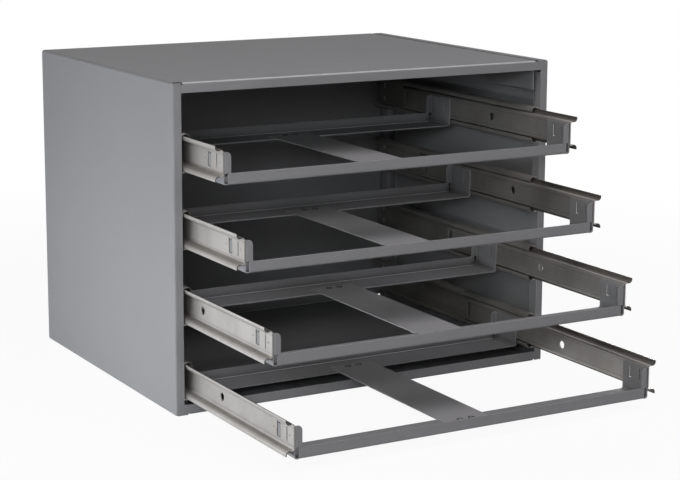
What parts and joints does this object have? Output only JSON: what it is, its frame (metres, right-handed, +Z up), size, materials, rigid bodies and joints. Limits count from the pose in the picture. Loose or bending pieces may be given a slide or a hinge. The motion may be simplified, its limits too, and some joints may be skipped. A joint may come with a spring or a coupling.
{
  "type": "drawer rack",
  "caption": "Open-fronted sheet steel cabinet whose open pull-out carriers, made to hold flat storage boxes, run on ball-bearing slides.",
  "frame": {"origin": "centre of the cabinet's base", "axes": "+Z up; the open front faces -Y, and the carriers pull out along -Y; +X to the right seen from the front"},
  "size_m": [0.508, 0.6405, 0.381],
  "materials": {
    "cabinet_paint": "grey powder coat, satin",
    "carrier_paint": "grey powder coat, satin",
    "zinc": "dull zinc plate",
    "cage_steel": "bright rolled strip",
    "ball_steel": "polished hardened steel",
    "rivet_steel": "plated steel"
  },
  "bodies": {
    "cabinet": {"left_top_shell": "cabinet_paint", "right_bottom_shell": "cabinet_paint", "back_panel": "cabinet_paint", "rear_post_left": "cabinet_paint", "rear_post_right": "cabinet_paint", "slide_rivets": "rivet_steel", "cabinet_slide_1_left": "zinc", "cabinet_slide_1_right": "zinc", "cabinet_slide_2_left": "zinc", "cabinet_slide_2_right": "zinc", "cabinet_slide_3_left": "zinc", "cabinet_slide_3_right": "zinc", "cabinet_slide_4_left": "zinc", "cabinet_slide_4_right": "zinc"},
    "carrier_1": {"front_rail_1": "carrier_paint", "back_rail_1": "carrier_paint", "centre_strap_1": "carrier_paint", "drawer_slide_1_left": "zinc", "drawer_slide_1_right": "zinc"},
    "cages_1": {"ball_cage_1_left": "cage_steel", "ball_cage_1_right": "cage_steel", "bearing_balls_1_left": "ball_steel", "bearing_balls_1_right": "ball_steel"},
    "carrier_2": {"front_rail_2": "carrier_paint", "back_rail_2": "carrier_paint", "centre_strap_2": "carrier_paint", "drawer_slide_2_left": "zinc", "drawer_slide_2_right": "zinc"},
    "cages_2": {"ball_cage_2_left": "cage_steel", "ball_cage_2_right": "cage_steel", "bearing_balls_2_left": "ball_steel", "bearing_balls_2_right": "ball_steel"},
    "carrier_3": {"front_rail_3": "carrier_paint", "back_rail_3": "carrier_paint", "centre_strap_3": "carrier_paint", "drawer_slide_3_left": "zinc", "drawer_slide_3_right": "zinc"},
    "cages_3": {"ball_cage_3_left": "cage_steel", "ball_cage_3_right": "cage_steel", "bearing_balls_3_left": "ball_steel", "bearing_balls_3_right": "ball_steel"},
    "carrier_4": {"front_rail_4": "carrier_paint", "back_rail_4": "carrier_paint", "centre_strap_4": "carrier_paint", "drawer_slide_4_left": "zinc", "drawer_slide_4_right": "zinc"},
    "cages_4": {"ball_cage_4_left": "cage_steel", "ball_cage_4_right": "cage_steel", "bearing_balls_4_left": "ball_steel", "bearing_balls_4_right": "ball_steel"}
  },
  "joints": [
    {"name": "carrier_1_slide", "type": "slide", "parent": "cabinet", "child": "carrier_1", "axis": [0, -1, 0], "range_m": [-0.0815, 0.2045]},
    {"name": "cages_1_slide", "type": "slide", "parent": "cabinet", "child": "cages_1", "axis": [0, -1, 0], "range_m": [-0.04075, 0.10225]},
    {"name": "carrier_2_slide", "type": "slide", "parent": "cabinet", "child": "carrier_2", "axis": [0, -1, 0], "range_m": [-0.132, 0.154]},
    {"name": "cages_2_slide", "type": "slide", "parent": "cabinet", "child": "cages_2", "axis": [0, -1, 0], "range_m": [-0.066, 0.077]},
    {"name": "carrier_3_slide", "type": "slide", "parent": "cabinet", "child": "carrier_3", "axis": [0, -1, 0], "range_m": [-0.195, 0.091]},
    {"name": "cages_3_slide", "type": "slide", "parent": "cabinet", "child": "cages_3", "axis": [0, -1, 0], "range_m": [-0.0975, 0.0455]},
    {"name": "carrier_4_slide", "type": "slide", "parent": "cabinet", "child": "carrier_4", "axis": [0, -1, 0], "range_m": [-0.2425, 0.0435]},
    {"name": "cages_4_slide", "type": "slide", "parent": "cabinet", "child": "cages_4", "axis": [0, -1, 0], "range_m": [-0.12125, 0.02175]}
  ],
  "couplings": [
    {"joint": "cages_1_slide", "follows": "carrier_1_slide", "ratio": 0.5},
    {"joint": "cages_2_slide", "follows": "carrier_2_slide", "ratio": 0.5},
    {"joint": "cages_3_slide", "follows": "carrier_3_slide", "ratio": 0.5},
    {"joint": "cages_4_slide", "follows": "carrier_4_slide", "ratio": 0.5}
  ]
}
